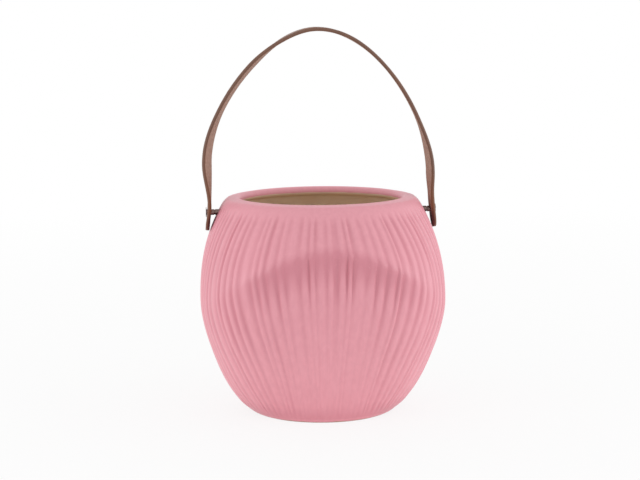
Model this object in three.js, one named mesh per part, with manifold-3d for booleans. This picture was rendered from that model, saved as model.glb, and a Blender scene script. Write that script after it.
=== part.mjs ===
// A fluted ceramic plant pot with a leather carry strap on two metal posts.
// Millimetres, +Z up, the posts along X, the front face towards -Y, the origin under the pot's centre.
import * as THREE from "three";
import { mergeVertices } from "three/addons/utils/BufferGeometryUtils.js";
import Module from "manifold-3d";

const wasm = await Module();
wasm.setup();

const { degToRad, lerp, smoothstep } = THREE.MathUtils;

// Driving dimensions: the pot's outside
const potHeight = 150;
const rimRadius = 66;
const rimDrop = 2;
const rimRound = 1.5;
const sideHalfWidth = 84;
const sideBulgeHeight = 77.5;
const cheekHalfDepth = 92;
const cheekRidgeHeight = 121;
const planSquareness = 2.6;
const sideShoulderPower = 2.4;
const cheekShoulderPower = 1.2;
const sideBellyPower = 1.58;
const cheekBellyPower = 1.62;
const sideTaperPower = 0.74;
const cheekTaperPower = 1.5;

// Driving dimensions: the foot, the lip and the inside
const footRadius = 47.5;
const footEdgeRound = 1.5;
const footRecessRadius = 37;
const footRecessDepth = 2;
const mouthRadius = 55.4;
const lipNoseRadius = 3.2;
const neckLength = 1;
const wallThickness = 7;
const floorThickness = 8;
const floorCornerRadius = 6;

// Driving dimensions: the flutes
const fluteCount = 88;
const fluteDepth = 1;
const fluteHalfWidth = degToRad(1.25);
const fluteWander = 0.17;
const fluteTwist = degToRad(1.45);
const fluteTopHeight = 146;
const fluteBottomHeight = 5;
const fluteFade = 9;

// Driving dimensions: the strap, measured from its posts, and its fasteners
const postDrop = 11.2;
const strapWidth = 18;
const strapThickness = 2.6;
const strapTail = 12.5;
const strapRise = 124.2;
const strapCrownOffset = -2;
const leftWaist = { out: 1, above: 33.2, rise: 37, reach: 33 };
const rightWaist = { out: -1.4, above: 25.2, rise: 37, reach: 43 };
const postRadius = 2;
const postHeadRadius = 3.4;
const postHeadHeight = 1.2;
const screwRadius = 1.25;
const screwLength = 8;
const screwTip = 0.3;
const screwHeadRadius = 3.3;
const screwHeadHeight = 1.8;
const washerRadius = 3.7;
const washerThickness = 1.5;

// Clearances
const seatGap = 0.3;
const strapClearance = 0.5;
const strapHoleClearance = 0.3;
const wallHoleClearance = 0.5;
const screwClearance = 0.05;
const cutterOvershoot = 10;

// The lip's round nose and the neck under it
const rimHeight = potHeight - rimDrop;
const crestRadius = mouthRadius + lipNoseRadius;
const noseStart = degToRad(-80);
const noseEnd = degToRad(75);
const nose = (angle) => [
  mouthRadius + lipNoseRadius * (1 - Math.cos(angle)),
  potHeight - lipNoseRadius * (1 - Math.sin(angle)),
];
const [lipUndersideRadius, lipUndersideHeight] = nose(noseStart);
const neckHeight = lipUndersideHeight - neckLength;

const glaze = new THREE.MeshStandardMaterial({ color: 0xdb9aa5, roughness: 0.45, metalness: 0 });
const leather = new THREE.MeshStandardMaterial({ color: 0x6e4636, roughness: 0.6, metalness: 0 });
const steel = new THREE.MeshStandardMaterial({ color: 0x8f8d8c, roughness: 0.3, metalness: 1 });
const rubber = new THREE.MeshStandardMaterial({ color: 0x2b2a29, roughness: 0.8, metalness: 0 });

// Joining and cutting
function toSolid(geometry) {
  const bare = geometry.clone();
  bare.deleteAttribute("normal");
  bare.deleteAttribute("uv");
  const merged = mergeVertices(bare, 1e-4);
  return new wasm.Manifold(
    new wasm.Mesh({
      numProp: 3,
      vertProperties: merged.attributes.position.array,
      triVerts: new Uint32Array(merged.index.array),
    }),
  );
}

function toGeometry(solid) {
  const mesh = solid.getMesh();
  const geometry = new THREE.BufferGeometry();
  geometry.setAttribute("position", new THREE.BufferAttribute(mesh.vertProperties, 3));
  geometry.setIndex(new THREE.BufferAttribute(mesh.triVerts, 1));
  const flat = geometry.toNonIndexed();
  flat.computeVertexNormals();
  return flat;
}

function subtract(geometry, ...cutters) {
  const solid = cutters.reduce((left, cutter) => left.subtract(toSolid(cutter)), toSolid(geometry));
  return toGeometry(solid);
}

// A closed skin through rings of points, from a point on the axis to another one above it.
// A ring gives each column's azimuth, radius and height. An azimuth is 0 at the front and grows towards +X.
function skin(bottomHeight, rings, topHeight, columnList) {
  const positions = [0, 0, bottomHeight];
  for (const ring of rings) {
    for (const column of columnList) {
      const [azimuth, radius, height] = ring(column);
      positions.push(radius * Math.sin(azimuth), -radius * Math.cos(azimuth), height);
    }
  }
  positions.push(0, 0, topHeight);
  const columns = columnList.length;
  const top = positions.length / 3 - 1;
  const indices = [];
  for (let column = 0; column < columns; column++) {
    const next = (column + 1) % columns;
    indices.push(0, 1 + next, 1 + column);
    for (let row = 0; row + 1 < rings.length; row++) {
      const low = 1 + row * columns;
      const high = low + columns;
      indices.push(low + column, low + next, high + next);
      indices.push(low + column, high + next, high + column);
    }
    const last = 1 + (rings.length - 1) * columns;
    indices.push(last + column, last + next, top);
  }
  const geometry = new THREE.BufferGeometry();
  geometry.setAttribute("position", new THREE.Float32BufferAttribute(positions, 3));
  geometry.setIndex(indices);
  return geometry;
}

// The pot's outer form. The sides are a barrel. The front and back are cheeks, which are widest along a ridge
// that climbs to its highest point at their middle.
const facing = (azimuth) => Math.abs(Math.cos(azimuth));

function ridgeHeight(azimuth) {
  return lerp(sideBulgeHeight, cheekRidgeHeight, facing(azimuth) ** 3);
}

function planRadius(azimuth) {
  const across = Math.abs(Math.sin(azimuth)) / sideHalfWidth;
  const deep = facing(azimuth) / cheekHalfDepth;
  return (across ** planSquareness + deep ** planSquareness) ** (-1 / planSquareness);
}

function bodyRadius(azimuth, height) {
  const cheek = facing(azimuth) ** 2;
  const widest = planRadius(azimuth);
  const ridge = ridgeHeight(azimuth);
  if (height > ridge) {
    const power = lerp(sideShoulderPower, cheekShoulderPower, cheek);
    const up = Math.min((height - ridge) / (rimHeight - ridge), 1);
    return rimRadius + (widest - rimRadius) * (1 - up ** power);
  }
  const power = lerp(sideBellyPower, cheekBellyPower, cheek);
  const taper = lerp(sideTaperPower, cheekTaperPower, cheek);
  const down = (ridge - height) / ridge;
  return footRadius + (widest - footRadius) * (1 - down ** power) ** taper;
}

// The flutes: shallow valleys from under the rim to above the foot, a little unevenly spaced and slightly twisted.
function fluteAzimuth(index) {
  const spacing = (2 * Math.PI) / fluteCount;
  const wander = Math.sin(2.4 * index) + Math.sin(5.1 * index + 1);
  return spacing * (index + 0.5 + fluteWander * wander);
}

function fluteFadeAt(height) {
  const below = smoothstep(height, fluteBottomHeight, fluteBottomHeight + fluteFade);
  const above = smoothstep(height, fluteTopHeight - fluteFade, fluteTopHeight);
  return below * (1 - above);
}

function twistAt(height) {
  return fluteTwist * (1 - height / rimHeight);
}

// Each flute has three columns: its two edges and the valley between them.
function fluteColumns() {
  const columns = [];
  for (let index = 0; index < fluteCount; index++) {
    const valley = fluteAzimuth(index);
    columns.push({ azimuth: valley - fluteHalfWidth, cut: 0 });
    columns.push({ azimuth: valley, cut: fluteDepth });
    columns.push({ azimuth: valley + fluteHalfWidth, cut: 0 });
  }
  return columns;
}

function evenColumns(count) {
  return Array.from({ length: count }, (_, index) => ({ azimuth: (2 * Math.PI * index) / count }));
}

// The heights of a wall's rows, which follow the ridge and lie closer together near it and near the wall's ends.
function rowHeights(low, high, rowsBelow, rowsAbove) {
  const eased = (share) => share - 0.05 * Math.sin(2 * Math.PI * share);
  const heights = [];
  for (let row = 0; row < rowsBelow; row++) {
    heights.push((azimuth) => lerp(low, ridgeHeight(azimuth), eased(row / rowsBelow)));
  }
  for (let row = 0; row <= rowsAbove; row++) {
    heights.push((azimuth) => lerp(ridgeHeight(azimuth), high, eased(row / rowsAbove)));
  }
  return heights;
}

const roundRing = (radius, height) => ({ azimuth }) => [azimuth + twistAt(height), radius, height];

function outerSkin() {
  const flutedRing = (heightAt) => ({ azimuth, cut }) => {
    const height = heightAt(azimuth);
    const turned = azimuth + twistAt(height);
    return [turned, bodyRadius(turned, height) - cut * fluteFadeAt(height), height];
  };
  const rings = [
    roundRing(footRecessRadius, footRecessDepth),
    roundRing(footRecessRadius + footRecessDepth / 2, 0),
    roundRing(footRadius - footEdgeRound, 0),
    ...rowHeights(footEdgeRound, rimHeight, 7, 5).map(flutedRing),
    roundRing(rimRadius - rimRound, rimHeight + 0.4 * rimRound),
    roundRing(crestRadius, potHeight),
  ];
  return skin(footRecessDepth, rings, potHeight, fluteColumns());
}

// The inside follows the outside at the wall's thickness and narrows at the neck to the lip's underside.
function insideRadius(azimuth, height) {
  const wall = bodyRadius(azimuth, Math.min(height, neckHeight)) - wallThickness;
  const narrowing = Math.max(0, (height - neckHeight) / (lipUndersideHeight - neckHeight));
  return lerp(wall, lipUndersideRadius, narrowing);
}

function cavitySkin() {
  const wallRing = (heightAt) => ({ azimuth }) => {
    const height = heightAt(azimuth);
    return [azimuth, insideRadius(azimuth, height), height];
  };
  const cornerRing = (angle) => ({ azimuth }) => {
    const height = floorThickness + floorCornerRadius * (1 - Math.cos(angle));
    const inset = floorCornerRadius * (1 - Math.sin(angle));
    return [azimuth, insideRadius(azimuth, height) - inset, height];
  };
  const cornerTop = floorThickness + floorCornerRadius;
  const noseSteps = 5;
  const noseAngle = (step) => lerp(noseStart, noseEnd, step / noseSteps);
  const [noseEndRadius, noseEndHeight] = nose(noseEnd);
  const pastNoseRadius = noseEndRadius + lipNoseRadius * Math.sin(noseEnd);
  const above = potHeight + cutterOvershoot;
  const rings = [
    cornerRing(0),
    cornerRing(Math.PI / 4),
    ...rowHeights(cornerTop, neckHeight, 4, 4).map(wallRing),
    ...Array.from({ length: noseSteps + 1 }, (_, step) => roundRing(...nose(noseAngle(step)))),
    roundRing(pastNoseRadius, noseEndHeight + lipNoseRadius * Math.cos(noseEnd)),
    roundRing(pastNoseRadius, above),
  ];
  return skin(floorThickness, rings, above, evenColumns(56));
}

// A turned piece whose axis is the posts' line, from a profile of [distance from the pot's axis, radius] points.
const postHeight = potHeight - postDrop;

function turnedAlongX(profile, side) {
  const points = profile.map(([along, radius]) => new THREE.Vector2(radius, side * along));
  if (side < 0) {
    points.reverse();
  }
  const geometry = new THREE.LatheGeometry(points, 20);
  geometry.rotateZ(-Math.PI / 2);
  geometry.translate(0, 0, postHeight);
  return geometry;
}

function postHole(side, clearance) {
  const holeRadius = postRadius + clearance;
  const inner = mouthRadius - cutterOvershoot;
  const outer = sideHalfWidth + cutterOvershoot;
  return turnedAlongX([[inner, 0], [inner, holeRadius], [outer, holeRadius], [outer, 0]], side);
}

// The strap stands clear of the shoulder, also with its lower edge when it lies folded down, and its tail does too.
const strapStandOff = strapClearance + strapThickness / 2;
const strapSeat = bodyRadius(Math.PI / 2, postHeight - strapWidth / 2) + strapStandOff;
const strapTailEnd = bodyRadius(Math.PI / 2, postHeight - strapTail) + strapStandOff;
const strapLean = (strapTailEnd - strapSeat) / strapTail;
const strapCrown = new THREE.Vector2(strapCrownOffset, postHeight + strapRise);

// One half of the strap's centre line in the XZ plane: the tail, the leg up to its waist, and the arch.
function strapHalf(side, waist) {
  const seat = new THREE.Vector2(side * strapSeat, postHeight);
  const tailEnd = new THREE.Vector2(side * strapTailEnd, postHeight - strapTail);
  const waistX = side * (strapSeat + waist.out);
  const waistHeight = postHeight + waist.above;
  const waistPoint = new THREE.Vector2(waistX, waistHeight);
  const legPull = 0.3 * waist.above;
  return [
    new THREE.LineCurve(tailEnd, seat),
    new THREE.CubicBezierCurve(
      seat,
      new THREE.Vector2(side * (strapSeat - strapLean * legPull), postHeight + legPull),
      new THREE.Vector2(waistX, waistHeight - legPull),
      waistPoint,
    ),
    new THREE.CubicBezierCurve(
      waistPoint,
      new THREE.Vector2(waistX, waistHeight + waist.rise),
      new THREE.Vector2(strapCrown.x + side * waist.reach, strapCrown.y),
      strapCrown,
    ),
  ];
}

function strapCentreLine() {
  const steps = [1, 6, 16];
  const trace = (curves) => curves.flatMap((curve, index) => curve.getPoints(steps[index]).slice(index ? 1 : 0));
  const left = trace(strapHalf(-1, leftWaist));
  const right = trace(strapHalf(1, rightWaist)).reverse();
  return [...left, ...right.slice(1)];
}

function strapGeometry() {
  const line = strapCentreLine();
  const offset = (distance) =>
    line.map((point, index) => {
      const before = line[Math.max(index - 1, 0)];
      const after = line[Math.min(index + 1, line.length - 1)];
      const normal = after.clone().sub(before).normalize();
      return new THREE.Vector2(point.x - distance * normal.y, point.y + distance * normal.x);
    });
  const outer = offset(strapThickness / 2);
  const inner = offset(-strapThickness / 2);
  const side = new THREE.Shape([...outer, ...inner.reverse()]);
  const band = new THREE.ExtrudeGeometry(side, { depth: strapWidth, bevelEnabled: false, steps: 1 });
  band.rotateX(Math.PI / 2);
  band.translate(0, strapWidth / 2, 0);
  return roundTails(band);
}

// The band's square ends are cut to half circles about the posts' line, and the posts' holes go through.
function roundTails(band) {
  const half = strapWidth / 2;
  const beside = half + cutterOvershoot;
  const centre = postHeight - strapTail + half;
  const top = strapCrown.y + strapThickness + cutterOvershoot;
  const keep = new THREE.Shape();
  keep.moveTo(-beside, top);
  keep.lineTo(-beside, centre);
  keep.lineTo(-half, centre);
  keep.absarc(0, centre, half, Math.PI, 2 * Math.PI, false);
  keep.lineTo(beside, centre);
  keep.lineTo(beside, top);
  const length = 2 * (sideHalfWidth + strapWidth);
  const stencil = new THREE.ExtrudeGeometry(keep, { depth: length, bevelEnabled: false, curveSegments: 16 });
  stencil.rotateX(Math.PI / 2);
  stencil.rotateZ(Math.PI / 2);
  stencil.translate(-length / 2, 0, 0);
  const rounded = toGeometry(toSolid(band).intersect(toSolid(stencil)));
  return subtract(rounded, postHole(1, strapHoleClearance), postHole(-1, strapHoleClearance));
}

// Where the fasteners sit along X, measured from the pot's axis
const headSeat = strapSeat + strapThickness / 2 + strapLean * postHeadRadius + seatGap;
const washerFace = insideRadius(Math.PI / 2, postHeight + washerRadius) - seatGap - washerThickness;
const screwSeat = washerFace - seatGap;

function postGeometry(side) {
  const head = headSeat + postHeadHeight;
  const bore = screwRadius + screwClearance;
  const boreEnd = washerFace + screwLength;
  return turnedAlongX(
    [
      [boreEnd, 0],
      [boreEnd, bore],
      [washerFace, bore],
      [washerFace, postRadius],
      [headSeat, postRadius],
      [headSeat, postHeadRadius],
      [headSeat + 0.4 * postHeadHeight, postHeadRadius],
      [head - 0.15 * postHeadHeight, 0.7 * postHeadRadius],
      [head, 0],
    ],
    side,
  );
}

function screwGeometry(side) {
  return turnedAlongX(
    [
      [screwSeat - screwHeadHeight, 0],
      [screwSeat - screwHeadHeight, 0.8 * screwHeadRadius],
      [screwSeat - 0.6 * screwHeadHeight, screwHeadRadius],
      [screwSeat, screwHeadRadius],
      [screwSeat, screwRadius],
      [screwSeat + screwLength - screwTip, screwRadius],
      [screwSeat + screwLength, screwRadius - screwTip],
      [screwSeat + screwLength, 0],
    ],
    side,
  );
}

// The soft washer takes up the wall's slope, so its outer face is cut by the wall.
function washerGeometry(side, shell) {
  const hole = postRadius + wallHoleClearance;
  const intoWall = insideRadius(Math.PI / 2, postHeight - washerRadius);
  const blank = turnedAlongX(
    [
      [washerFace, hole],
      [washerFace, washerRadius],
      [intoWall, washerRadius],
      [intoWall, hole],
      [washerFace, hole],
    ],
    side,
  );
  const wall = shell.clone().translate(-side * seatGap, 0, 0);
  return subtract(blank, wall);
}

function namedMesh(name, geometry, material) {
  const mesh = new THREE.Mesh(geometry, material);
  mesh.name = name;
  return mesh;
}

const plantPot = new THREE.Group();
const shell = subtract(outerSkin(), cavitySkin());
const pierced = subtract(shell, postHole(1, wallHoleClearance), postHole(-1, wallHoleClearance));
plantPot.add(namedMesh("pot_body", pierced, glaze));
plantPot.add(namedMesh("carry_strap", strapGeometry(), leather));
for (const [name, side] of [["left", -1], ["right", 1]]) {
  plantPot.add(namedMesh(`${name}_binding_post`, postGeometry(side), steel));
  plantPot.add(namedMesh(`${name}_binding_screw`, screwGeometry(side), steel));
  plantPot.add(namedMesh(`${name}_rubber_washer`, washerGeometry(side, shell), rubber));
}

export default plantPot;
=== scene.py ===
"""A fluted pink plant pot with a leather carry strap on two metal posts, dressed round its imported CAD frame.

Every length is in metres and in the frame's axes: +Z up, X through the two posts, the front face towards -Y.
A band is four values: where something starts, where it is full, where it begins to fade and where it is gone.
"""

import math

import bmesh
import bpy
import numpy as np
from mathutils import Matrix, Vector

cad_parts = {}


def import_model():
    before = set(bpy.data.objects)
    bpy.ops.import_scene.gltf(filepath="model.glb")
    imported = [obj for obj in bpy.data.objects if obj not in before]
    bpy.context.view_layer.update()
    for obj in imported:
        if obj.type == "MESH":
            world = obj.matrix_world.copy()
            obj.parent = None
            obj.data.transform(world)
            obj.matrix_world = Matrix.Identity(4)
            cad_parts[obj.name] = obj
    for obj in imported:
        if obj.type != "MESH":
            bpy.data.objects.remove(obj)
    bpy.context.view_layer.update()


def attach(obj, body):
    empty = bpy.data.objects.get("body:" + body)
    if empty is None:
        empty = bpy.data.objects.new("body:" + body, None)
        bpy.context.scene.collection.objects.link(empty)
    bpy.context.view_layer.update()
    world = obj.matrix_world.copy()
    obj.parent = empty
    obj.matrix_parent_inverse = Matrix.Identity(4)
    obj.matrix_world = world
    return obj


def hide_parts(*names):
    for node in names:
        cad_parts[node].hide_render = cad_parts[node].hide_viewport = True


MM = 0.001
SEED = 7

# The pot's outside
POT_HEIGHT = 150 * MM
RIM_RADIUS = 66 * MM
RIM_HEIGHT = POT_HEIGHT - 2 * MM
RIM_CORNER = 5 * MM
RIM_CORNER_CUT = 1.3 * MM
RIM_CORNER_POWER = 2.5
SIDE_HALF_WIDTH = 84 * MM
SIDE_BULGE_HEIGHT = 77.5 * MM
CHEEK_HALF_DEPTH = 92 * MM
CHEEK_RIDGE_HEIGHT = 121 * MM
RIDGE_ARCH_POWER = 3
PLAN_SQUARENESS = 2.6
SIDE_SHOULDER_POWER = 2.4
CHEEK_SHOULDER_POWER = 1.2
SIDE_BELLY_POWER = 1.58
CHEEK_BELLY_POWER = 1.62
SIDE_TAPER_POWER = 0.74
CHEEK_TAPER_POWER = 1.5
RIDGE_SOFTNESS = 3.5 * MM
RIDGE_WEIGHTS = {-1: 1, -0.5: 4, 0: 6, 0.5: 4, 1: 1}
HOLLOW_DEPTH = 1 * MM
HOLLOW_BELOW_RIDGE = (-1 * MM, 8 * MM, 9 * MM, 32 * MM)
HOLLOW_FACING = (0.75, 0.95)
LOW_SWELL = 1.2 * MM
LOW_SWELL_HEIGHTS = (0, 8 * MM, 16 * MM, 48 * MM)
BODY_ROWS = 86
ROW_GATHERING = 0.06

# How much painted shade darkens the glaze in the hollow under the ridge and towards the foot, against 1 in the
# deepest flutes
HOLLOW_PAINTED_SHADE = 0.9
HOLLOW_SHADE_RISE = 6 * MM
FOOT_PAINTED_SHADE = 0.5
FOOT_SHADE_HEIGHTS = (2 * MM, 16 * MM)

# The foot. A recess wall row is its way out from the recess's flat and its share of the recess's depth.
# MIDDLE_SHARE is how far out the innermost ring of a flat lies, as a share of the flat's radius.
FOOT_RADIUS = 47.5 * MM
FOOT_EDGE_ROUND = 2.6 * MM
FOOT_EDGE_ROWS = 5
FOOT_CORNER_SHARE = 0.3
FOOT_CONTACT_RADIUS = 45.5 * MM
FOOT_RECESS_RADIUS = 37 * MM
FOOT_RECESS_DEPTH = 2 * MM
RECESS_CORNER = 1 * MM
RECESS_ROWS = 4
RECESS_WALL_ROWS = ((0, 0.7), (0.5 * MM, 0.2), (1.2 * MM, 0))
MIDDLE_SHARE = 0.2

# The lip and the inside. A rim row is its way in and its rise from the rim's edge.
RIM_ROWS = ((0.5 * MM, 0.2 * MM), (1.3 * MM, 0.4 * MM), (3.66 * MM, 0.7 * MM))
MOUTH_RADIUS = 55.4 * MM
LIP_NOSE_RADIUS = 3.2 * MM
LIP_ANGLES = (84, 260)
LIP_ROWS = 13
CREST_HEIGHT = 149.2 * MM
GLAZE_END_HEIGHT = 145.2 * MM
GLAZE_END_BLUR = 1 * MM
NECK_DROP = 2 * MM
NECK_POWER = 1.6
NECK_ROWS = 4
WALL = 7 * MM
INSIDE_ROWS = 16
FLOOR = 8 * MM
FLOOR_CORNER_RADIUS = 6 * MM
FLOOR_SHARES = (0.8, 0.6, 0.4, MIDDLE_SHARE)

# The flutes. Depths are shares of a full flute's. A wander wave is its rate per flute and its shift, and a
# depth wave is its share, its length and how far it shifts from flute to flute.
FLUTE_COUNT = 88
FLUTE_DEPTH = 0.95 * MM
FLUTE_WANDER = 0.17
WANDER_WAVES = ((2.4, 0), (5.1, 1))
FLUTE_TWIST = math.radians(1.45)
FLUTE_HEIGHTS = (1 * MM, 10 * MM, 137 * MM, 146 * MM)
COLUMNS_PER_FLUTE = 8
VALLEY_POWER = 1.2
VALLEY_DEPTHS = (0.7, 1.1)
DEPTH_WAVES = ((0.16, 17 * MM, 1), (0.08, 7 * MM, 3))
CREASE_REACH = 0.22
CREASE_DEPTHS = (0.2, 1.0)
CREASE_BELOW_RIDGE = (-4 * MM, 7 * MM, 12 * MM, 40 * MM)
FLANK_FROM_CHEEK = (math.radians(12), math.radians(42))
DEEPENING_HEIGHTS = (15 * MM, 90 * MM)
FLANK_DEPTHS = {"foot": 0.5, "belly": 1}
CHEEK_DEPTHS = {"foot": 0.16, "belly": 0.42, "shoulder": 0.75, "extra_under_ridge": 0.1}
SHOULDER_ABOVE_RIDGE = 12 * MM

# The strap. Its turns are in degrees.
POST_HEIGHT = 138.8 * MM
STRAP_CLEARANCE = 0.5 * MM
STRAP_WIDTH = 18 * MM
STRAP_THICKNESS = 2.6 * MM
STRAP_TAIL = 12.5 * MM
STRAP_TIP_HALF_WIDTH = 0.8 * MM
STRAP_EDGE_REACH = 1.5 * MM
STRAP_APEX = Vector((-2, 263)) * MM
STRAP_LEG_PULL = 0.3
STRAP_CURVE_STEPS = 60
STRAP_ROW_SPACING = 1.2 * MM
SAME_PLACE = 1e-6 * MM
STRAP_ROUNDING = {"of_thickness": 0.8, "of_width": 0.9}
STRAP_CORNER_POINTS = 5
STRAP_FACE_POINTS = 14
LEFT_WAIST = {"out": 1 * MM, "height": 172 * MM, "rise": 39 * MM, "reach": 33 * MM, "kink": 1.2}
RIGHT_WAIST = {"out": -1.2 * MM, "height": 164 * MM, "rise": 37 * MM, "reach": 42 * MM, "kink": 1}
LEFT_TURN = {"tail": 2.5, "post": 0, "flat_to": 4 * MM, "waist": 15.5, "arch": 9.5}
RIGHT_TURN = {"tail": 0, "post": 0, "flat_to": 10 * MM, "waist": 6, "arch": -3}
TAIL_TURN_BELOW_POST = (1 * MM, 8 * MM)
ARCH_TURN_ABOVE_WAIST = (8 * MM, 40 * MM)
CROWN_TURN_BELOW_APEX = (25 * MM, 2 * MM)
STRAP_HOLE_RADIUS = 2.3 * MM

# The posts, screws and washers. The screw head's dome is in shares of its height and its radius.
POST_RADIUS = 2 * MM
POST_CHAMFER = 0.25 * MM
POST_HEAD_RADIUS = 3.4 * MM
POST_HEAD_HEIGHT = 0.5 * MM
POST_HEAD_RIM = 0.3 * MM
POST_HEAD_GAP = 0.15 * MM
POST_DOME_ANGLES = (10, 80)
POST_DOME_ROWS = 6
POST_DOME_POWER = 0.6
GROOVE_FROM_WALL = 1.6 * MM
GROOVE_WIDTH = 0.9 * MM
GROOVE_FLANK = 0.2 * MM
GROOVE_DEPTH = 0.3 * MM
SCREW_RADIUS = 1.25 * MM
SCREW_PLAY = 0.05 * MM
SCREW_LENGTH = 8 * MM
SCREW_TIP = 0.3 * MM
SCREW_HEAD_RADIUS = 3.3 * MM
SCREW_HEAD_HEIGHT = 1.8 * MM
SCREW_HEAD_DOME = ((1, 0.7), (0.93, 0.86), (0.75, 0.97), (0.6, 1))
THREAD_PITCH = 0.5 * MM
THREAD_START = 0.4 * MM
THREAD_DEPTH = 0.18 * MM
UNTHREADED_LENGTH = 1 * MM
HEAD_CORE_RADIUS = 0.15 * MM
SHANK_CORE_RADIUS = 0.1 * MM
BROKEN_EDGE = 0.1 * MM
WASHER_RADIUS = 3.7 * MM
WASHER_THICKNESS = 1.5 * MM
WASHER_EDGE_RADIUS = 0.25 * MM
WASHER_CORNER_POINTS = 4
WASHER_SEGMENTS = 56
SEAT_GAP = 0.3 * MM
WALL_HOLE_RADIUS = 2.5 * MM
SLOT_WIDTH = 0.8 * MM
SLOT_DEPTH = 0.3 * MM

# Meshes and cuts. A cutter reaches a little past what it cuts.
TURNED_SEGMENTS = 48
HOLE_BEYOND = 5 * MM
SLOT_BEYOND = 2 * MM
SHARP_ANGLE = math.radians(35)

# The colours as they look on screen, from 0 to 255, and where they change
COLOURS = {
    "glaze": (236, 161, 173),
    "glaze_cloud": (233, 159, 171),
    # painted bounce light, low on the belly
    "glaze_bounce_lit": (243, 170, 181),
    # pooled glaze and painted shade in the valleys, painted shade under the ridge and at the foot
    "glaze_pooled_and_shaded": (200, 118, 132),
    "glaze_brushed": (205, 124, 138),
    "glaze_speckle": (244, 184, 192),
    "clay": (252, 231, 209),
    "clay_pale": (255, 241, 222),
    # painted shade deep inside
    "clay_shaded_deep": (198, 168, 140),
    "clay_grit": (230, 204, 178),
    # painted shadow under the lip
    "clay_lip_shadow": (216, 184, 150),
    "leather": (118, 76, 56),
    "leather_light": (136, 88, 62),
    # painted light near the posts
    "leather_lit_near_posts": (128, 74, 38),
    # painted shade at the tails
    "leather_tail_shade": (78, 34, 34),
    "suede": (180, 148, 132),
    "suede_dark": (158, 124, 109),
    "burnished": (108, 78, 65),
    "burnished_light": (120, 86, 70),
    "metal": (108, 88, 85),
    "metal_light": (138, 116, 111),
    "rubber": (38, 36, 36),
    "rubber_light": (52, 50, 49),
}
# Where the painted bounce light on the glaze fades in, low on the belly
GLAZE_BOUNCE_LIT_HEIGHTS = (100 * MM, 35 * MM)
# Where the painted shade on the bare clay deepens towards the inside floor
CLAY_SHADE_HEIGHTS = (50 * MM, 8 * MM)
# Where the painted light near the posts fades in
LIT_FROM_TAIL = (45 * MM, 16 * MM)
# Where the painted shade at the tails deepens
TAIL_SHADE_FROM_END = (15 * MM, 8 * MM)

# How rough each material is: glaze and clay, leather and suede, and the two tones of metal and of rubber
POT_ROUGHNESS = (0.42, 0.85)
STRAP_ROUGHNESS = (0.45, 0.9)
METAL_ROUGHNESS = (0.2, 0.32)
RUBBER_ROUGHNESS = (0.7, 0.85)

# The camera, as fitted to the rim's and the foot's ellipses in the 640 x 480 photograph
CAMERA_DISTANCE = 1255 * MM
CAMERA_HEIGHT = 290 * MM
CAMERA_AZIMUTH = math.radians(-3.9)
CAMERA_PITCH = math.radians(7.8)
CAMERA_ROLL = math.radians(0.5)
CAMERA_ASIDE = -0.9 * MM
FOCAL_PIXELS = 1834
PHOTO_WIDTH_PIXELS = 640
SENSOR_WIDTH_MM = 36

# The floor and the light
WHITE = (1, 1, 1, 1)
FLOOR_REACH = 8
FLOOR_COLOUR = (0.93, 0.93, 0.93, 1)
FLOOR_WHITENESS = {"near": 0.85, "far": 1, "from": 0.15, "to": 1.2}
SKY_STRENGTH = 0.82
LIGHT_TARGET = (0, 0, 0.09)
SOFTBOXES = {
    "left_softbox": {"place": (-0.9, -0.25, 0.2), "size": (0.6, 0.4), "watts": 1.5},
    "right_softbox": {"place": (0.9, -0.25, 0.2), "size": (0.6, 0.4), "watts": 2.0},
}


def smoothstep(value, low, high):
    share = np.clip((value - low) / (high - low), 0, 1)
    return share * share * (3 - 2 * share)


def band(value, starts, full, fades, gone):
    return smoothstep(value, starts, full) * (1 - smoothstep(value, fades, gone))


def lerp(low, high, share):
    return low + (high - low) * share


# The pot's outer form. The sides are a barrel; the front and back are cheeks under an arched ridge.
def ridge_height(azimuth):
    return lerp(SIDE_BULGE_HEIGHT, CHEEK_RIDGE_HEIGHT, np.abs(np.cos(azimuth)) ** RIDGE_ARCH_POWER)


def plan_radius(azimuth):
    across = np.abs(np.sin(azimuth)) / SIDE_HALF_WIDTH
    deep = np.abs(np.cos(azimuth)) / CHEEK_HALF_DEPTH
    return (across**PLAN_SQUARENESS + deep**PLAN_SQUARENESS) ** (-1 / PLAN_SQUARENESS)


def body_radius(azimuth, height):
    cheek = np.cos(azimuth) ** 2
    widest = plan_radius(azimuth)
    ridge = ridge_height(azimuth)
    up = np.clip((height - ridge) / (RIM_HEIGHT - ridge), 0, 1)
    down = np.clip((ridge - height) / ridge, 0, 1)
    shoulder_share = 1 - up ** lerp(SIDE_SHOULDER_POWER, CHEEK_SHOULDER_POWER, cheek)
    belly_share = 1 - down ** lerp(SIDE_BELLY_POWER, CHEEK_BELLY_POWER, cheek)
    belly_share = belly_share ** lerp(SIDE_TAPER_POWER, CHEEK_TAPER_POWER, cheek)
    shoulder = lerp(RIM_RADIUS, widest, shoulder_share)
    belly = lerp(FOOT_RADIUS, widest, belly_share)
    return np.where(height > ridge, shoulder, belly)


def soft_radius(azimuth, height):
    """The body's radius as casting leaves it: a rounded ridge, a hollow below it and a fuller low belly."""
    reach = min(RIDGE_SOFTNESS, 0.5 * height, 0.5 * (RIM_HEIGHT - height))
    total = sum(weight * body_radius(azimuth, height + at * reach) for at, weight in RIDGE_WEIGHTS.items())
    swell = LOW_SWELL * band(height, *LOW_SWELL_HEIGHTS)
    return total / sum(RIDGE_WEIGHTS.values()) - HOLLOW_DEPTH * below_ridge(azimuth, height) + swell


def below_ridge(azimuth, height):
    """1 along the shallow hollow under each cheek's ridge, falling to 0 all round it."""
    cheek = smoothstep(np.abs(np.cos(azimuth)), *HOLLOW_FACING)
    return cheek * band(ridge_height(azimuth) - height, *HOLLOW_BELOW_RIDGE)


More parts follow.
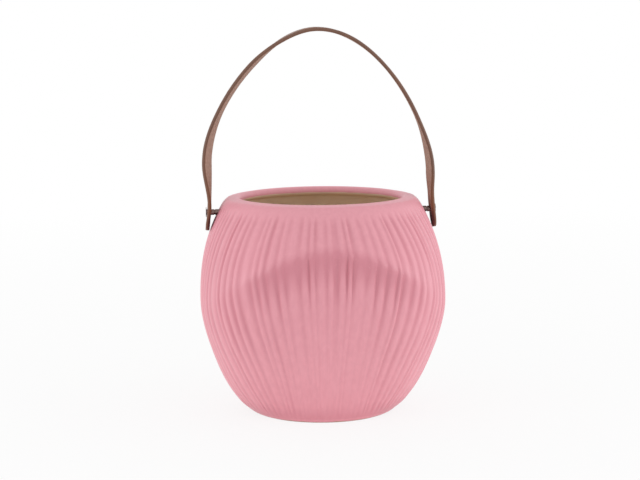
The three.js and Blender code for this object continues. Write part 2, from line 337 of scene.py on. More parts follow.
# The flutes: hand-cut valleys with rounded lands between them, each with its own depth and slight wander.
def flute_azimuth(index):
    wander = sum(np.sin(rate * index + shift) for rate, shift in WANDER_WAVES)
    return 2 * math.pi / FLUTE_COUNT * (index + 0.5 + FLUTE_WANDER * wander)


def flute_columns():
    """Every column's azimuth, its share of the way from one valley to the next, and that flute's index."""
    index = np.repeat(np.arange(FLUTE_COUNT), COLUMNS_PER_FLUTE)
    share = np.tile(np.arange(COLUMNS_PER_FLUTE) / COLUMNS_PER_FLUTE, FLUTE_COUNT)
    return lerp(flute_azimuth(index), flute_azimuth(index + 1), share), share, index


def valley_depths(azimuth, height, valley):
    """How deep a valley and the crease along its middle are at a place. Each flute has its own depths."""
    rng = np.random.default_rng(SEED)
    own = rng.uniform(*VALLEY_DEPTHS, FLUTE_COUNT)[valley]
    phase = rng.uniform(0, 2 * math.pi, FLUTE_COUNT)[valley]
    crease = rng.uniform(*CREASE_DEPTHS, FLUTE_COUNT)[valley]
    along = 1 + sum(share * np.sin(height / length + shift * phase) for share, length, shift in DEPTH_WAVES)
    flank = smoothstep(np.arccos(np.abs(np.cos(azimuth))), *FLANK_FROM_CHEEK)
    below = ridge_height(azimuth) - height
    under_ridge = band(below, *CREASE_BELOW_RIDGE)
    up_belly = smoothstep(height, *DEEPENING_HEIGHTS)
    on_flank = lerp(FLANK_DEPTHS["foot"], FLANK_DEPTHS["belly"], up_belly)
    on_cheek = lerp(CHEEK_DEPTHS["foot"], CHEEK_DEPTHS["belly"], up_belly)
    on_cheek = lerp(on_cheek, CHEEK_DEPTHS["shoulder"], smoothstep(-below, 0, SHOULDER_ABOVE_RIDGE))
    on_cheek = on_cheek + CHEEK_DEPTHS["extra_under_ridge"] * under_ridge
    return own * along * lerp(on_cheek, on_flank, flank), crease * along * under_ridge * (1 - flank)


def valley_share(distance):
    """How much of a valley's depth is left at a distance from its middle, counted in flutes."""
    return (1 - smoothstep(distance, 0, 0.5)) ** VALLEY_POWER


def crease_share(distance):
    return 1 - smoothstep(distance, 0, CREASE_REACH)


def flute_cut(azimuth, share, index, height):
    """How deep the flutes are cut along one row, as a share of their full depth."""
    cut = 0
    for valley, distance in ((index, share), ((index + 1) % FLUTE_COUNT, 1 - share)):
        deep, crease = valley_depths(azimuth, height, valley)
        cut = cut + deep * valley_share(distance) + crease * crease_share(distance)
    return cut * band(height, *FLUTE_HEIGHTS)


def twist_at(height):
    return FLUTE_TWIST * (1 - height / RIM_HEIGHT)


# Meshes
def arc(centre, radius, start, end, steps):
    """Points of a circle's arc as (radius, height) pairs, with angles in degrees from the outward way."""
    angles = np.radians(np.linspace(start, end, steps))
    return [(centre[0] + radius * math.cos(a), centre[1] + radius * math.sin(a)) for a in angles]


def smooth_mesh(name, vertices, faces):
    mesh = bpy.data.meshes.new(name)
    mesh.from_pydata(vertices.tolist(), [], faces)
    mesh.shade_smooth()
    return mesh


def grid_mesh(name, points):
    """A closed mesh of rows by columns of points, with a fan to the middle of its first and last row."""
    rows, columns, _ = points.shape
    row = np.arange(rows - 1)[:, None] * columns
    column = np.arange(columns)[None, :]
    beside = (column + 1) % columns
    corners = [row + column, row + beside, row + columns + beside, row + columns + column]
    faces = np.stack(corners, -1).reshape(-1, 4).tolist()
    first = rows * columns
    last_row = first - columns
    for c in range(columns):
        after = (c + 1) % columns
        faces.append((first, after, c))
        faces.append((first + 1, last_row + c, last_row + after))
    middles = [points[0].mean(0), points[-1].mean(0)]
    return smooth_mesh(name, np.concatenate([points.reshape(-1, 3), middles]), faces)


def ring_mesh(name, points):
    """A closed ring of sections, joined both ways round."""
    rows, columns, _ = points.shape
    faces = []
    for row in range(rows):
        for column in range(columns):
            beside = (column + 1) % columns
            here = row * columns
            there = (row + 1) % rows * columns
            faces.append((here + column, there + column, there + beside, here + beside))
    return smooth_mesh(name, points.reshape(-1, 3), faces)


def turned_mesh(name, profile, side):
    """A closed piece turned about the posts' line, from (distance from the pot's axis, radius) points."""
    angles = np.linspace(0, 2 * math.pi, TURNED_SEGMENTS, endpoint=False) * side
    rows = [[(side * x, r * math.cos(a), POST_HEIGHT + r * math.sin(a)) for a in angles] for x, r in profile]
    return grid_mesh(name, np.array(rows))


def add_object(name, mesh, material):
    piece = bpy.data.objects.new(name, mesh)
    bpy.context.scene.collection.objects.link(piece)
    mesh.materials.append(material)
    return piece


def write_attribute(mesh, name, values):
    attribute = mesh.attributes.new(name, "FLOAT", "POINT")
    attribute.data.foreach_set("value", np.asarray(values, np.float32))


def split_large_faces(mesh):
    """Divides faces of more than four corners, so that no later step has to guess how."""
    edited = bmesh.new()
    edited.from_mesh(mesh)
    large = [face for face in edited.faces if len(face.verts) > 4]
    bmesh.ops.triangulate(edited, faces=large, quad_method="BEAUTY", ngon_method="BEAUTY")
    edited.to_mesh(mesh)
    edited.free()


def cut_away(piece, cutter_mesh):
    """Cuts the closed mesh out of the piece."""
    cutter = add_object("cutter", cutter_mesh, piece.data.materials[0])
    boolean = piece.modifiers.new("cut", "BOOLEAN")
    boolean.object = cutter
    boolean.solver = "MANIFOLD"
    bpy.context.view_layer.update()
    evaluated = piece.evaluated_get(bpy.context.evaluated_depsgraph_get())
    cut = bpy.data.meshes.new_from_object(evaluated)
    split_large_faces(cut)
    piece.modifiers.clear()
    piece.data = cut
    bpy.data.objects.remove(cutter)


def cut_holes(piece, name, radius, near, far):
    """Cuts a round hole for each post through what lies between two distances from the pot's axis."""
    for side in (-1, 1):
        reach = [(near - HOLE_BEYOND, radius), (far + HOLE_BEYOND, radius)]
        cut_away(piece, turned_mesh(name, reach, side))


def cut_slot(piece, name, side, start, end, half_length):
    """Cuts a straight screwdriver slot along Y, between two distances from the pot's axis."""
    ring = [(1, -1), (1, 1), (-1, 1), (-1, -1)]
    places = sorted((side * start, side * end))
    rows = [[(x, half_length * y, POST_HEIGHT + SLOT_WIDTH / 2 * z) for y, z in ring] for x in places]
    cut_away(piece, grid_mesh(name, np.array(rows)))
    piece.data.set_sharp_from_angle(angle=SHARP_ANGLE)


def dress(piece, node, body):
    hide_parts(node)
    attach(piece, body)


# The pot
class PotRows:
    """The pot's rings of points, from the middle of its underside up, over the lip and down to its floor."""

    def __init__(self):
        self.azimuth, self.share, self.index = flute_columns()
        self.points = []
        self.groove_and_shade = []
        self.bare = []

    # groove darkens the colour: pooled glaze and painted shade in the flutes' valleys, painted shade under the
    # ridge and towards the foot, and painted shadow on the bare clay under the lip
    def add(self, radius, height, groove=0.0, clay=0.0):
        turned = self.azimuth + twist_at(height)
        level = np.zeros_like(turned)
        self.points.append(np.stack([radius * np.sin(turned), -radius * np.cos(turned), level + height], -1))
        self.groove_and_shade.append(level + groove)
        self.bare.append(level + clay)

    def mesh(self, name):
        mesh = grid_mesh(name, np.array(self.points))
        # The groove attribute carries pooled glaze and painted shade together
        write_attribute(mesh, "groove", np.concatenate([*self.groove_and_shade, [0, 0]]))
        write_attribute(mesh, "bare", np.concatenate([*self.bare, [1, 1]]))
        return mesh


def add_foot(rows):
    """The recess under the foot, the ring that the pot stands on, and the edge where the glaze begins."""
    for share in np.linspace(MIDDLE_SHARE, 1, RECESS_ROWS):
        rows.add(share * (FOOT_RECESS_RADIUS - RECESS_CORNER), FOOT_RECESS_DEPTH, clay=1)
    for out, share in RECESS_WALL_ROWS:
        rows.add(FOOT_RECESS_RADIUS + out, share * FOOT_RECESS_DEPTH, clay=1)
    rows.add(0.5 * (FOOT_RECESS_RADIUS + FOOT_RADIUS), 0, clay=1)
    edge = soft_radius(rows.azimuth + twist_at(FOOT_EDGE_ROUND), FOOT_EDGE_ROUND)
    corner = lerp(FOOT_RADIUS, edge, FOOT_CORNER_SHARE)
    for step in range(FOOT_EDGE_ROWS):
        out = step / FOOT_EDGE_ROWS
        radius = lerp(lerp(FOOT_CONTACT_RADIUS, corner, out), lerp(corner, edge, out), out)
        rows.add(radius, out**2 * FOOT_EDGE_ROUND, clay=1 - out)


def add_body(rows):
    """The fluted wall from the foot's edge to the rim, with closer rows towards both."""
    for step in range(BODY_ROWS + 1):
        up = step / BODY_ROWS
        height = lerp(FOOT_EDGE_ROUND, RIM_HEIGHT, up - ROW_GATHERING * math.sin(2 * math.pi * up))
        cut = flute_cut(rows.azimuth, rows.share, rows.index, height)
        # Painted shade: the glaze darkens in the hollow under each cheek's ridge, from a little above it, and
        # towards the foot
        hollow_shade = HOLLOW_PAINTED_SHADE * below_ridge(rows.azimuth, height - HOLLOW_SHADE_RISE)
        foot_shade = FOOT_PAINTED_SHADE * (1 - smoothstep(height, *FOOT_SHADE_HEIGHTS))
        corner = RIM_CORNER_CUT * np.clip((height - RIM_HEIGHT) / RIM_CORNER + 1, 0, 1) ** RIM_CORNER_POWER
        radius = soft_radius(rows.azimuth + twist_at(height), height) - corner
        # The cut also darkens the valleys: pooled glaze and painted shade
        rows.add(radius - FLUTE_DEPTH * cut, height, cut + hollow_shade + foot_shade)


def add_lip_and_inside(rows):
    """The rolled lip, its bare underside and neck with painted shadow under the lip, the inside wall and the
    floor.
    """
    for inward, rise in RIM_ROWS:
        rows.add(RIM_RADIUS - RIM_CORNER_CUT - inward, RIM_HEIGHT + rise)
    nose = (MOUTH_RADIUS + LIP_NOSE_RADIUS, CREST_HEIGHT - LIP_NOSE_RADIUS)
    lip = arc(nose, LIP_NOSE_RADIUS, *LIP_ANGLES, LIP_ROWS)
    for radius, height in lip:
        clay = smoothstep(GLAZE_END_HEIGHT - height, -GLAZE_END_BLUR, GLAZE_END_BLUR)
        # Painted shadow: the lip's bare underside is darkened
        rows.add(radius, height, groove=clay, clay=clay)
    under_radius, under_height = lip[-1]
    neck_height = under_height - NECK_DROP
    neck_radius = body_radius(math.pi / 2, neck_height) - WALL
    for step in range(1, NECK_ROWS):
        down = step / NECK_ROWS
        radius = lerp(under_radius, neck_radius, down)
        # Painted shadow fading down the neck below the lip
        rows.add(radius, lerp(under_height, neck_height, down**NECK_POWER), groove=1 - down, clay=1)
    for step in range(INSIDE_ROWS + 1):
        height = lerp(neck_height, FLOOR, step / INSIDE_ROWS)
        into_floor = np.clip(1 - (height - FLOOR) / FLOOR_CORNER_RADIUS, 0, 1)
        inset = FLOOR_CORNER_RADIUS * (1 - math.sqrt(1 - into_floor**2))
        rows.add(soft_radius(rows.azimuth, height) - WALL - inset, height, clay=1)
    for share in FLOOR_SHARES:
        rows.add(share * (FOOT_RADIUS - WALL), FLOOR, clay=1)


def build_pot(material):
    rows = PotRows()
    add_foot(rows)
    add_body(rows)
    add_lip_and_inside(rows)
    pot = add_object("fluted_pot", rows.mesh("fluted_pot"), material)
    cut_holes(pot, "wall_hole", WALL_HOLE_RADIUS, MOUTH_RADIUS, SIDE_HALF_WIDTH)
    dress(pot, "pot_body", "pot")


# The strap
def strap_places():
    """The distances from the pot's axis to the strap's middle, at the posts and at its tails' ends."""
    stand_off = STRAP_CLEARANCE + STRAP_THICKNESS / 2
    heights = np.array([POST_HEIGHT - STRAP_WIDTH / 2, POST_HEIGHT - STRAP_TAIL])
    return body_radius(np.full(2, math.pi / 2), heights) + stand_off


def strap_half(side, waist):
    """One half of the strap's centre line in the XZ plane, as Bezier pieces of four points each."""
    at_post, at_end = strap_places()
    seat = Vector((side * at_post, POST_HEIGHT))
    tail_end = Vector((side * at_end, POST_HEIGHT - STRAP_TAIL))
    waist_x = side * (at_post + waist["out"])
    waist_point = Vector((waist_x, waist["height"]))
    leg_pull = STRAP_LEG_PULL * (waist["height"] - POST_HEIGHT)
    lean = (at_end - at_post) / STRAP_TAIL
    above_seat = Vector((side * (at_post - waist["kink"] * lean * leg_pull), POST_HEIGHT + leg_pull))
    below_waist = Vector((waist_x, waist["height"] - leg_pull))
    above_waist = Vector((waist_x, waist["height"] + waist["rise"]))
    beside_apex = Vector((STRAP_APEX.x + side * waist["reach"], STRAP_APEX.y))
    return [
        (tail_end, tail_end.lerp(seat, 1 / 3), tail_end.lerp(seat, 2 / 3), seat),
        (seat, above_seat, below_waist, waist_point),
        (waist_point, above_waist, beside_apex, STRAP_APEX),
    ]


def bezier(points, share):
    a, b, c, d = points
    left = 1 - share
    return a * left**3 + b * (3 * left**2 * share) + c * (3 * left * share**2) + d * share**3


def strap_line():
    """Even points of the whole strap from its left tail to its right tail, and their places along it."""
    shares = [step / STRAP_CURVE_STEPS for step in range(STRAP_CURVE_STEPS + 1)]
    left = [bezier(piece, share) for piece in strap_half(-1, LEFT_WAIST) for share in shares]
    right = [bezier(piece, share) for piece in strap_half(1, RIGHT_WAIST) for share in shares]
    line = np.array([tuple(point) for point in left + right[-2::-1]])
    steps = np.hypot(*np.diff(line, axis=0).T)
    line = line[np.concatenate([[True], steps > SAME_PLACE])]
    along = np.concatenate([[0], np.cumsum(np.hypot(*np.diff(line, axis=0).T))])
    at = np.linspace(0, along[-1], round(along[-1] / STRAP_ROW_SPACING) + 1)
    return np.stack([np.interp(at, along, line[:, 0]), np.interp(at, along, line[:, 1])], -1), at


def strap_turn(x, height):
    """The strap's twist at a point, from its values at the tail, the post, the waist and in the arch."""
    waist, turn = (LEFT_WAIST, LEFT_TURN) if x < STRAP_APEX.x else (RIGHT_WAIST, RIGHT_TURN)
    above_post = smoothstep(height, POST_HEIGHT + turn["flat_to"], waist["height"])
    into_tail = smoothstep(POST_HEIGHT - height, *TAIL_TURN_BELOW_POST)
    into_arch = smoothstep(height - waist["height"], *ARCH_TURN_ABOVE_WAIST)
    below_apex, at_crown = CROWN_TURN_BELOW_APEX
    into_crown = smoothstep(height, STRAP_APEX.y - below_apex, STRAP_APEX.y - at_crown)
    leg = lerp(lerp(turn["post"], turn["waist"], above_post), turn["tail"], into_tail)
    return -math.radians(lerp(leg, turn["arch"], into_arch) * (1 - into_crown))


def strap_section(half_width, half_thickness):
    """The strap's section as a ring of (across, outward, innerness, edgeness) points with rounded edges."""
    corner = min(STRAP_ROUNDING["of_thickness"] * half_thickness, STRAP_ROUNDING["of_width"] * half_width)
    ring = []
    for across, outward, start in ((1, 1, 0), (-1, 1, 90), (-1, -1, 180), (1, -1, 270)):
        for angle in np.radians(np.linspace(start, start + 90, STRAP_CORNER_POINTS)):
            w = across * (half_width - corner) + corner * math.cos(angle)
            t = outward * (half_thickness - corner) + corner * math.sin(angle)
            ring.append((w, t, float(outward < 0), abs(math.cos(angle))))
        if start in (0, 180):
            for share in np.linspace(0, 1, STRAP_FACE_POINTS)[1:-1]:
                w = lerp(across, -across, share) * (half_width - corner)
                ring.append((w, outward * half_thickness, float(outward < 0), 0.0))
    return ring


def build_strap(material):
    line, at = strap_line()
    half = STRAP_WIDTH / 2
    tangent = np.gradient(line, axis=0)
    tangent /= np.hypot(*tangent.T)[:, None]
    rows, inner, edge, from_tail = [], [], [], []
    for (x, z), place, (tx, tz) in zip(line, at, tangent):
        from_end = min(place, at[-1] - place)
        rounding = max(half - from_end, 0)
        width = math.sqrt(max(half**2 - rounding**2, STRAP_TIP_HALF_WIDTH**2))
        outward = Vector((-tz, 0, tx))
        turn = Matrix.Rotation(strap_turn(x, z), 3, Vector((tx, 0, tz)))
        centre = Vector((x, 0, z))
        section = strap_section(width, STRAP_THICKNESS / 2)
        rows.append([tuple(centre + turn @ (Vector((0, w, 0)) + outward * t)) for w, t, _, _ in section])
        inner.extend(innerness for _, _, innerness, _ in section)
        edge.extend(max(edgeness, 1 - from_end / STRAP_EDGE_REACH) for _, _, _, edgeness in section)
        from_tail.extend([from_end] * len(section))
    mesh = grid_mesh("leather_strap", np.array(rows))
    write_attribute(mesh, "inner", inner + [0, 0])
    write_attribute(mesh, "edge", edge + [1, 1])
    write_attribute(mesh, "from_tail", from_tail + [0, 0])
    strap = add_object("leather_strap", mesh, material)
    seat = strap_places()[0]
    cut_holes(strap, "strap_hole", STRAP_HOLE_RADIUS, seat, seat)
    dress(strap, "carry_strap", "handle")


# The fasteners
def inside_wall_x(y, height):
    """The distance from the pot's axis to the inner wall beside a post."""
    return math.sqrt((float(body_radius(math.pi / 2, height)) - WALL) ** 2 - y**2)


def fastener_places():
    """Where the post's head and the washer's inner face sit, as distances from the pot's axis."""
    at_post, at_end = strap_places()
    lean = (at_end - at_post) / STRAP_TAIL
    head_seat = at_post + STRAP_THICKNESS / 2 + lean * POST_HEAD_RADIUS + POST_HEAD_GAP
    washer_face = inside_wall_x(0, POST_HEIGHT + WASHER_RADIUS) - SEAT_GAP - WASHER_THICKNESS
    return head_seat, washer_face


def build_post(name, side, material):
    """A bored post with a groove round its shank and a low, slotted head."""
    head_seat, washer_face = fastener_places()
    top = head_seat + POST_HEAD_HEIGHT
    groove = inside_wall_x(0, POST_HEIGHT) + WALL + GROOVE_FROM_WALL
    profile = [
        (washer_face + SCREW_LENGTH, SHANK_CORE_RADIUS),
        (washer_face + SCREW_LENGTH, SCREW_RADIUS + SCREW_PLAY),
        (washer_face, SCREW_RADIUS + SCREW_PLAY),
        (washer_face, POST_RADIUS - POST_CHAMFER),
        (washer_face + POST_CHAMFER, POST_RADIUS),
        (groove, POST_RADIUS),
        (groove + GROOVE_FLANK, POST_RADIUS - GROOVE_DEPTH),
        (groove + GROOVE_WIDTH - GROOVE_FLANK, POST_RADIUS - GROOVE_DEPTH),
        (groove + GROOVE_WIDTH, POST_RADIUS),
        (head_seat, POST_RADIUS),
        (head_seat, POST_HEAD_RADIUS - BROKEN_EDGE),
        (head_seat + BROKEN_EDGE, POST_HEAD_RADIUS),
        (head_seat + POST_HEAD_RIM, POST_HEAD_RADIUS),
    ]
    for angle in np.radians(np.linspace(*POST_DOME_ANGLES, POST_DOME_ROWS)):
        rise = POST_HEAD_RIM + (POST_HEAD_HEIGHT - POST_HEAD_RIM) * math.sin(angle)
        profile.append((head_seat + rise, POST_HEAD_RADIUS * math.cos(angle) ** POST_DOME_POWER))
    profile.append((top, HEAD_CORE_RADIUS))
    post = add_object(name, turned_mesh(name, profile, side), material)
    cut_slot(post, "head_slot", side, top - SLOT_DEPTH, top + SLOT_BEYOND, 2 * POST_HEAD_RADIUS)
    dress(post, name, "pot")


def build_screw(name, side, material):
    """A threaded screw in the post's bore, with a domed and slotted head inside the pot."""
    seat = fastener_places()[1] - SEAT_GAP
    head = seat - SCREW_HEAD_HEIGHT
    end = seat + SCREW_LENGTH
    profile = [(head, HEAD_CORE_RADIUS)]
    profile += [(seat - down * SCREW_HEAD_HEIGHT, out * SCREW_HEAD_RADIUS) for down, out in SCREW_HEAD_DOME]
    profile += [
        (seat - BROKEN_EDGE, SCREW_HEAD_RADIUS),
        (seat, SCREW_HEAD_RADIUS - BROKEN_EDGE),
        (seat, SCREW_RADIUS),
    ]
    for thread in range(int((SCREW_LENGTH - UNTHREADED_LENGTH) / THREAD_PITCH)):
        crest = seat + THREAD_START + thread * THREAD_PITCH
        profile += [(crest, SCREW_RADIUS), (crest + THREAD_PITCH / 2, SCREW_RADIUS - THREAD_DEPTH)]
    profile += [(end - SCREW_TIP, SCREW_RADIUS), (end, SCREW_RADIUS - SCREW_TIP), (end, SHANK_CORE_RADIUS)]
    screw = add_object(name, turned_mesh(name, profile, side), material)
    cut_slot(screw, "screw_slot", side, head - SLOT_BEYOND, head + SLOT_DEPTH, 2 * SCREW_HEAD_RADIUS)
    dress(screw, name, "pot")


def build_washer(name, side, material):
    """A soft ring with rounded rims, whose outer face follows the wall."""
    face = fastener_places()[1] + WASHER_EDGE_RADIUS
    middle = 0.5 * (WALL_HOLE_RADIUS + WASHER_RADIUS)
    reach = 0.5 * (WASHER_RADIUS - WALL_HOLE_RADIUS) - WASHER_EDGE_RADIUS
    section = []
    for across, outer, start in ((1, True, 0), (-1, True, 90), (-1, False, 180), (1, False, 270)):
        rim = arc((middle + across * reach, 0), WASHER_EDGE_RADIUS, start, start + 90, WASHER_CORNER_POINTS)
        section += [(radius, outer, lift) for radius, lift in rim]
    rows = []
    for turn in np.linspace(0, 2 * math.pi, WASHER_SEGMENTS, endpoint=False) * side:
        ring = []
        for radius, outer, lift in section:
            y = radius * math.cos(turn)
            z = POST_HEIGHT + radius * math.sin(turn)
            base = inside_wall_x(y, z) - SEAT_GAP - WASHER_EDGE_RADIUS if outer else face
            ring.append((side * (base + lift), y, z))
        rows.append(ring)
    washer = add_object(name, ring_mesh(name, np.array(rows)), material)
    dress(washer, name, "pot")


# Materials
class Shader:
    """A principled material and short ways to add nodes to it."""

    def __init__(self, name):
        self.material = bpy.data.materials.new(name)
        self.material.use_nodes = True
        self.tree = self.material.node_tree
        self.surface = self.tree.nodes["Principled BSDF"]

    def put(self, socket, value):
        if isinstance(value, bpy.types.NodeSocket):
            self.tree.links.new(value, socket)
        else:
            socket.default_value = value

    def node(self, kind, inputs, **settings):
        node = self.tree.nodes.new(kind)
        for name, value in settings.items():
            setattr(node, name, value)
        for name, value in inputs.items():
            self.put(node.inputs[name], value)
        return node

    def set(self, **inputs):
        for name, value in inputs.items():
            self.put(self.surface.inputs[name.replace("_", " ").title()], value)

    def attribute(self, name):
        return self.node("ShaderNodeAttribute", {}, attribute_name=name).outputs["Fac"]

    def position(self, scale=(1, 1, 1)):
        coordinates = self.node("ShaderNodeTexCoord", {}).outputs["Object"]
        return self.node("ShaderNodeMapping", {"Vector": coordinates, "Scale": scale}).outputs["Vector"]

    def noise(self, scale, detail=3.0, stretch=(1, 1, 1)):
        inputs = {"Vector": self.position(stretch), "Scale": scale, "Detail": detail}
        return self.node("ShaderNodeTexNoise", inputs).outputs["Fac"]

    def ramp(self, value, low, high, to_low=0.0, to_high=1.0):
        inputs = {"Value": value, "From Min": low, "From Max": high, "To Min": to_low, "To Max": to_high}
        return self.node("ShaderNodeMapRange", inputs).outputs["Result"]

    def patches(self, scale, low, high, detail=3.0, stretch=(1, 1, 1), most=1.0):
        """Noise sharpened to patches: 0 where it is under low, and the most where it is over high."""
        return self.ramp(self.noise(scale, detail, stretch), low, high, 0.0, most)

    def math(self, operation, first, second):
        return self.node("ShaderNodeMath", {0: first, 1: second}, operation=operation).outputs["Value"]

    def mix(self, share, first, second):
        """A mix of two colours, each given by name or by the output of another node."""
        first, second = (colour(side) if isinstance(side, str) else side for side in (first, second))
        node = self.node("ShaderNodeMix", {0: share, 6: first, 7: second}, data_type="RGBA")
        return node.outputs[2]

    def bump(self, height, strength, distance):
        inputs = {"Height": height, "Strength": strength, "Distance": distance}
        return self.node("ShaderNodeBump", inputs).outputs["Normal"]


def colour(name):
    """A named colour in linear values."""
    return (*(((channel / 255 + 0.055) / 1.055) ** 2.4 for channel in COLOURS[name]), 1)


def glaze_material():
    """Satin pink glaze, darker in the valleys from pooled glaze and painted shade, with painted shade under
    the ridge and towards the foot and painted bounce light low on the belly, and bare clay inside and under
    the foot, with painted shadow under the lip and painted shade deep inside.
    """
    s = Shader("pink_glaze")
    height = s.node("ShaderNodeSeparateXYZ", {"Vector": s.position()}).outputs["Z"]
    glaze = s.mix(s.patches(14.0, low=0.3, high=0.7), "glaze_cloud", "glaze")
    # Painted bounce light: the glaze is lighter low on the belly
    glaze = s.mix(s.ramp(height, *GLAZE_BOUNCE_LIT_HEIGHTS), glaze, "glaze_bounce_lit")
    # Pooled glaze and painted shade darken the valleys; painted shade darkens the hollow under the ridge and
    # the foot
    glaze = s.mix(s.ramp(s.attribute("groove"), 0.1, 1.0, to_high=0.6), glaze, "glaze_pooled_and_shaded")
    brushed = s.patches(420.0, low=0.35, high=0.65, stretch=(1, 1, 0.05), most=0.14)
    glaze = s.mix(brushed, glaze, "glaze_brushed")
    glaze = s.mix(s.patches(700.0, low=0.62, high=0.72, detail=2.0, most=0.12), glaze, "glaze_speckle")
    clay = s.mix(s.patches(40.0, low=0.35, high=0.65, detail=4.0), "clay", "clay_pale")
    # Painted shade: the bare clay darkens deep inside, towards the floor
    clay = s.mix(s.ramp(height, *CLAY_SHADE_HEIGHTS), clay, "clay_shaded_deep")
    clay = s.mix(s.patches(2200.0, low=0.55, high=0.7, detail=2.0, most=0.25), clay, "clay_grit")
    # Painted shadow on the bare clay under the lip and down the neck
    clay = s.mix(s.ramp(s.attribute("groove"), 0.0, 1.0, to_high=0.9), clay, "clay_lip_shadow")
    uneven = s.ramp(s.noise(160.0, detail=2.0), 0.0, 1.0, to_low=-0.25, to_high=0.25)
    bare = s.ramp(s.math("ADD", s.attribute("bare"), uneven), 0.44, 0.56)
    s.set(base_color=s.mix(bare, glaze, clay), roughness=s.ramp(bare, 0.0, 1.0, *POT_ROUGHNESS))
    grain = s.math("MULTIPLY", s.noise(1800.0), s.math("MULTIPLY", bare, 2.0))
    relief = s.math("ADD", s.noise(260.0, detail=2.0), grain)
    s.set(normal=s.bump(relief, strength=0.12, distance=0.3 * MM))
    return s.material


def leather_material():
    """Brown leather: smooth outside, taupe suede inside, with a burnished edge, painted light near the posts,
    and painted shade at the tails, strongest on the inner face.
    """
    s = Shader("brown_leather")
    from_tail = s.attribute("from_tail")
    inner = s.attribute("inner")
    tone = s.patches(60.0, low=0.3, high=0.7)
    suede = s.mix(s.patches(500.0, low=0.3, high=0.7, detail=4.0), "suede", "suede_dark")
    leather = s.mix(inner, s.mix(tone, "leather", "leather_light"), suede)
    burnished = s.mix(tone, "burnished", "burnished_light")
    leather = s.mix(s.ramp(s.attribute("edge"), 0.35, 0.75), leather, burnished)
    # Painted light: a warmer, lit tone near the posts
    leather = s.mix(s.ramp(from_tail, *LIT_FROM_TAIL, to_high=0.6), leather, "leather_lit_near_posts")
    # Painted shade: the tails darken towards their ends, most on the inner face
    inner_shade = s.ramp(inner, 0.0, 1.0, to_low=0.2, to_high=0.85)
    tail_shade = s.math("MULTIPLY", s.ramp(from_tail, *TAIL_SHADE_FROM_END), inner_shade)
    s.set(base_color=s.mix(tail_shade, leather, "leather_tail_shade"))
    s.set(roughness=s.ramp(inner, 0.0, 1.0, *STRAP_ROUGHNESS))
    pores = s.node("ShaderNodeTexVoronoi", {"Vector": s.position(), "Scale": 1500.0}).outputs["Distance"]
    relief = s.math("ADD", pores, s.noise(900.0, detail=4.0))
    s.set(normal=s.bump(relief, strength=0.15, distance=0.2 * MM))
    return s.material


def metal_material():
    """Darkened plated metal with the fine rings that turning leaves."""
    s = Shader("post_metal")
    rings = s.noise(1200.0, stretch=(1, 0.02, 0.02))
    s.set(base_color=s.mix(s.ramp(rings, 0.3, 0.7), "metal", "metal_light"))
    s.set(metallic=1.0, roughness=s.ramp(rings, 0.3, 0.7, *METAL_ROUGHNESS))
    s.set(normal=s.bump(rings, strength=0.1, distance=0.05 * MM))
    return s.material


def rubber_material():
    s = Shader("washer_rubber")
    mottle = s.patches(900.0, low=0.35, high=0.65)
    s.set(base_color=s.mix(mottle, "rubber", "rubber_light"))
    s.set(roughness=s.ramp(mottle, 0.0, 1.0, *RUBBER_ROUGHNESS))
    s.set(normal=s.bump(s.noise(1500.0), strength=0.2, distance=0.1 * MM))
    return s.material


# Stage, lights and camera
def seen_or_reflected(tree):
    """1 for the camera's own rays and for those that mirrors and glass send on, else 0."""
    path = tree.nodes.new("ShaderNodeLightPath")
    total = path.outputs["Is Camera Ray"]
    for ray in ("Is Glossy Ray", "Is Transmission Ray"):
        larger = tree.nodes.new("ShaderNodeMath")
        larger.operation = "MAXIMUM"
        tree.links.new(total, larger.inputs[0])
        tree.links.new(path.outputs[ray], larger.inputs[1])
        total = larger.outputs[0]
    return total


def build_stage():
    """A plain floor that keeps the pot's shadow and turns pure white farther away."""
    mesh = bpy.data.meshes.new("floor")
    corners = [(x * FLOOR_REACH, y * FLOOR_REACH, 0) for x, y in ((-1, -1), (1, -1), (1, 1), (-1, 1))]
    mesh.from_pydata(corners, [], [(0, 1, 2, 3)])
    s = Shader("floor")
    s.set(base_color=FLOOR_COLOUR, roughness=1.0)
    s.put(s.surface.inputs["Specular IOR Level"], 0.0)
    white = s.node("ShaderNodeEmission", {"Color": WHITE, "Strength": 1.0}).outputs[0]
    away = s.node("ShaderNodeVectorMath", {0: s.position()}, operation="LENGTH").outputs["Value"]
    white_share = s.ramp(away, *(FLOOR_WHITENESS[key] for key in ("from", "to", "near", "far")))
    share = s.math("MULTIPLY", seen_or_reflected(s.tree), white_share)
    shown = s.node("ShaderNodeMixShader", {0: share, 1: s.surface.outputs[0], 2: white}).outputs[0]
    s.put(s.tree.nodes["Material Output"].inputs["Surface"], shown)
    floor = add_object("floor", mesh, s.material)


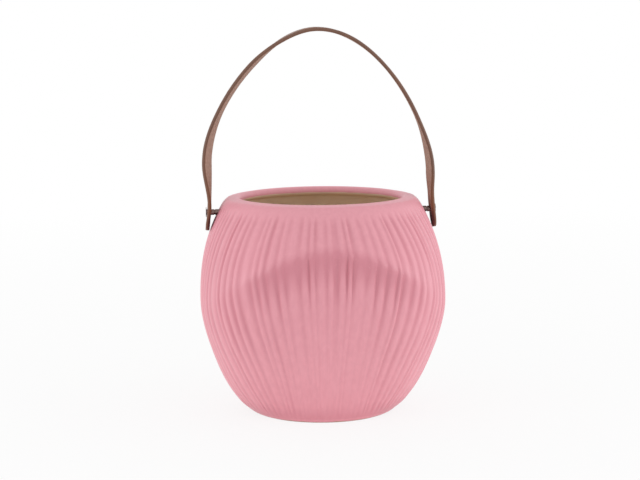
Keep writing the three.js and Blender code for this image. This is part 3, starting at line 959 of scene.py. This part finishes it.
def build_world():
    """An even studio sky, which is seen and reflected as plain white."""
    world = bpy.data.worlds.new("studio")
    bpy.context.scene.world = world
    world.use_nodes = True
    tree = world.node_tree
    sky = tree.nodes["Background"]
    sky.inputs["Color"].default_value = WHITE
    sky.inputs["Strength"].default_value = SKY_STRENGTH
    backdrop = tree.nodes.new("ShaderNodeBackground")
    backdrop.inputs["Color"].default_value = WHITE
    choose = tree.nodes.new("ShaderNodeMixShader")
    tree.links.new(seen_or_reflected(tree), choose.inputs[0])
    tree.links.new(sky.outputs[0], choose.inputs[1])
    tree.links.new(backdrop.outputs[0], choose.inputs[2])
    tree.links.new(choose.outputs[0], tree.nodes["World Output"].inputs["Surface"])


def build_lights():
    for name, softbox in SOFTBOXES.items():
        data = bpy.data.lights.new(name, "AREA")
        data.shape = "RECTANGLE"
        data.size, data.size_y = softbox["size"]
        data.energy = softbox["watts"]
        light = bpy.data.objects.new(name, data)
        bpy.context.scene.collection.objects.link(light)
        light.location = softbox["place"]
        light.rotation_mode = "QUATERNION"
        light.rotation_quaternion = (Vector(LIGHT_TARGET) - light.location).to_track_quat("-Z", "Y")


def build_camera():
    data = bpy.data.cameras.new("camera")
    data.sensor_width = SENSOR_WIDTH_MM
    data.lens = FOCAL_PIXELS / PHOTO_WIDTH_PIXELS * SENSOR_WIDTH_MM
    data.dof.use_dof = False
    camera = bpy.data.objects.new("camera", data)
    bpy.context.scene.collection.objects.link(camera)
    turn = Matrix.Rotation(CAMERA_AZIMUTH, 4, "Z")
    aside = Matrix.Translation((CAMERA_ASIDE, -CAMERA_DISTANCE, CAMERA_HEIGHT))
    tilt = Matrix.Rotation(math.pi / 2 - CAMERA_PITCH, 4, "X")
    roll = Matrix.Rotation(-CAMERA_ROLL, 4, "Z")
    camera.matrix_world = turn @ aside @ tilt @ roll
    bpy.context.scene.camera = camera


def main():
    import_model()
    bpy.context.scene.view_settings.view_transform = "Standard"
    metal = metal_material()
    rubber = rubber_material()
    build_pot(glaze_material())
    build_strap(leather_material())
    for name, side in (("left", -1), ("right", 1)):
        build_post(f"{name}_binding_post", side, metal)
        build_screw(f"{name}_binding_screw", side, metal)
        build_washer(f"{name}_rubber_washer", side, rubber)
    build_stage()
    build_world()
    build_lights()
    build_camera()


main()
